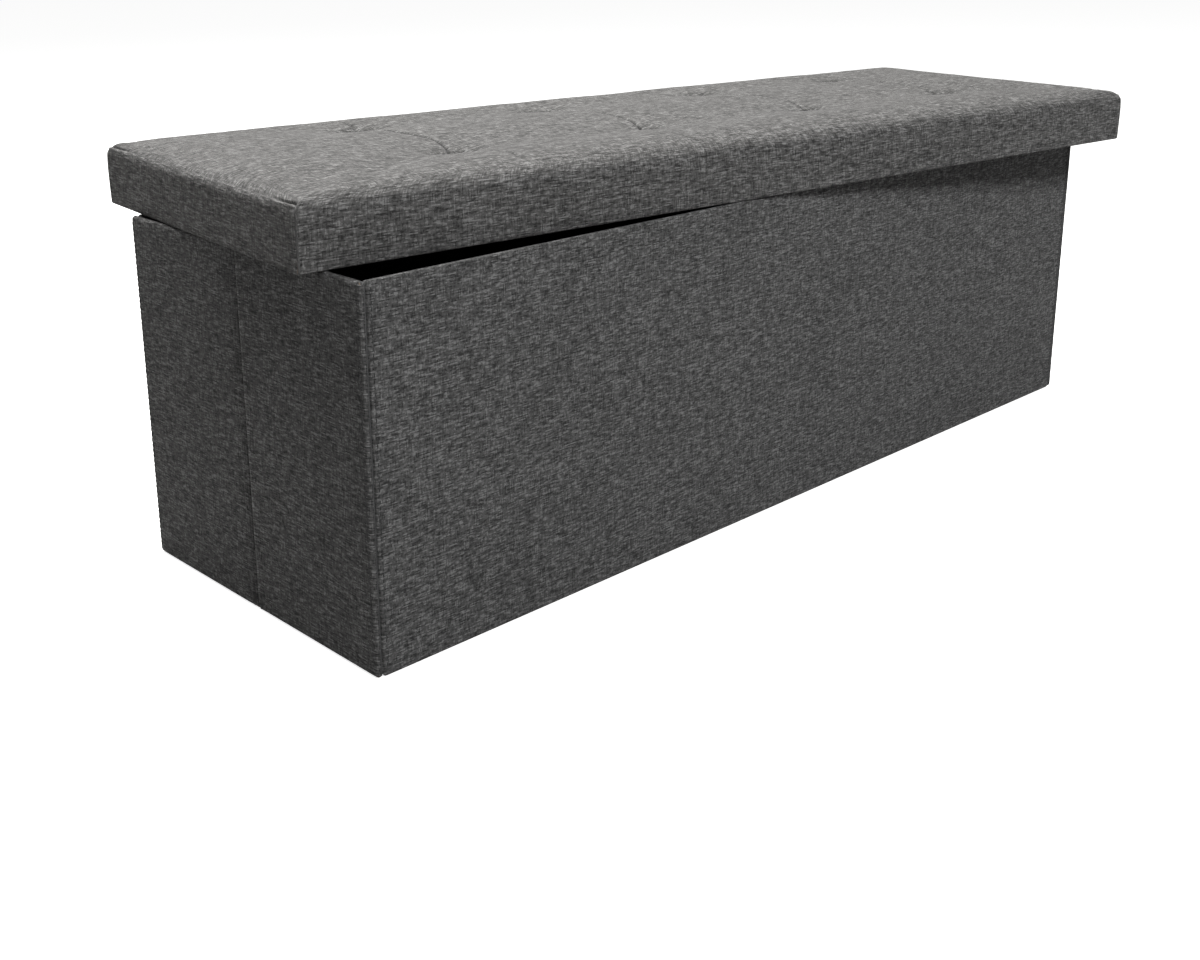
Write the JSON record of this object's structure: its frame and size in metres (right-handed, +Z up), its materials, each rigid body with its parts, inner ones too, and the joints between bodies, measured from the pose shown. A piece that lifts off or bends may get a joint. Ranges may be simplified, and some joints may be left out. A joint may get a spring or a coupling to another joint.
{
  "type": "folding storage bench",
  "caption": "Fabric-covered rectangular storage bench with folding walls, a hinged floor panel and a loose tufted lid resting askew on the rim.",
  "frame": {"origin": "centre of the box's footprint at floor level, on the underside of the floor panel", "axes": "+X to the right along the length, +Y from the front to the back, +Z up"},
  "size_m": [1.1318, 0.4792, 0.3929],
  "materials": {
    "linen": "heathered dark grey linen-look weave",
    "lid_linen": "heathered grey linen-look weave, stretched over foam",
    "lining": "black non-woven",
    "hinge_fabric": "folded seam fabric",
    "foam": "open-cell foam",
    "tuft_cord": "twisted cord",
    "fibreboard": "raw fibreboard"
  },
  "bodies": {
    "back_wall": {"back_board": "fibreboard", "back_cover": "linen", "back_lining": "lining", "corner_hinge_back_left": "hinge_fabric", "corner_hinge_back_right": "hinge_fabric", "floor_hinge": "hinge_fabric"},
    "front_wall": {"front_board": "fibreboard", "front_cover": "linen", "front_lining": "lining", "corner_hinge_front_left": "hinge_fabric", "corner_hinge_front_right": "hinge_fabric"},
    "left_rear_half": {"left_rear_board": "fibreboard", "left_rear_cover": "linen", "left_rear_lining": "lining"},
    "left_front_half": {"left_front_board": "fibreboard", "left_front_cover": "linen", "left_front_lining": "lining"},
    "right_rear_half": {"right_rear_board": "fibreboard", "right_rear_cover": "linen", "right_rear_lining": "lining"},
    "right_front_half": {"right_front_board": "fibreboard", "right_front_cover": "linen", "right_front_lining": "lining"},
    "floor_panel": {"floor_board": "fibreboard", "floor_cover": "lining"},
    "lid": {"lid_board": "fibreboard", "lid_lining": "lining", "lid_foam": "foam", "lid_top_cover": "lid_linen", "lid_tufts": "tuft_cord", "lid_front_rail": "fibreboard", "lid_back_rail": "fibreboard", "lid_left_rail": "fibreboard", "lid_right_rail": "fibreboard", "lid_front_band": "linen", "lid_back_band": "linen", "lid_left_band": "linen", "lid_right_band": "linen"}
  },
  "joints": [
    {"name": "fold", "type": "hinge", "parent": "back_wall", "child": "left_rear_half", "pos_m": [-0.5324, 0.1662, 0], "axis": [0, 0, 1], "range_deg": [0, 90]},
    {"name": "left_crease", "type": "hinge", "parent": "left_rear_half", "child": "left_front_half", "pos_m": [-0.5403, 0, 0], "axis": [0, 0, 1], "range_deg": [-180, 0]},
    {"name": "front_corner_left", "type": "hinge", "parent": "left_front_half", "child": "front_wall", "pos_m": [-0.5324, -0.1662, 0], "axis": [0, 0, 1], "range_deg": [0, 90]},
    {"name": "back_corner_right", "type": "hinge", "parent": "back_wall", "child": "right_rear_half", "pos_m": [0.5324, 0.1662, 0], "axis": [0, 0, 1], "range_deg": [-90, 0]},
    {"name": "right_crease", "type": "hinge", "parent": "right_rear_half", "child": "right_front_half", "pos_m": [0.5403, 0, 0], "axis": [0, 0, 1], "range_deg": [0, 180]},
    {"name": "floor_fold", "type": "hinge", "parent": "back_wall", "child": "floor_panel", "pos_m": [0, 0.1676, 0.0028], "axis": [1, 0, 0], "range_deg": [-90, 0], "deforming": ["floor_board", "floor_cover"]},
    {"name": "lid_lift", "type": "slide", "parent": "back_wall", "child": "lid", "axis": [0, 0, 1], "range_m": [0, 0.15]}
  ],
  "couplings": [
    {"joint": "left_crease", "follows": "fold", "ratio": -2},
    {"joint": "front_corner_left", "follows": "fold", "ratio": 1},
    {"joint": "back_corner_right", "follows": "fold", "ratio": -1},
    {"joint": "right_crease", "follows": "fold", "ratio": 2},
    {"joint": "floor_fold", "follows": "fold", "ratio": -1}
  ]
}
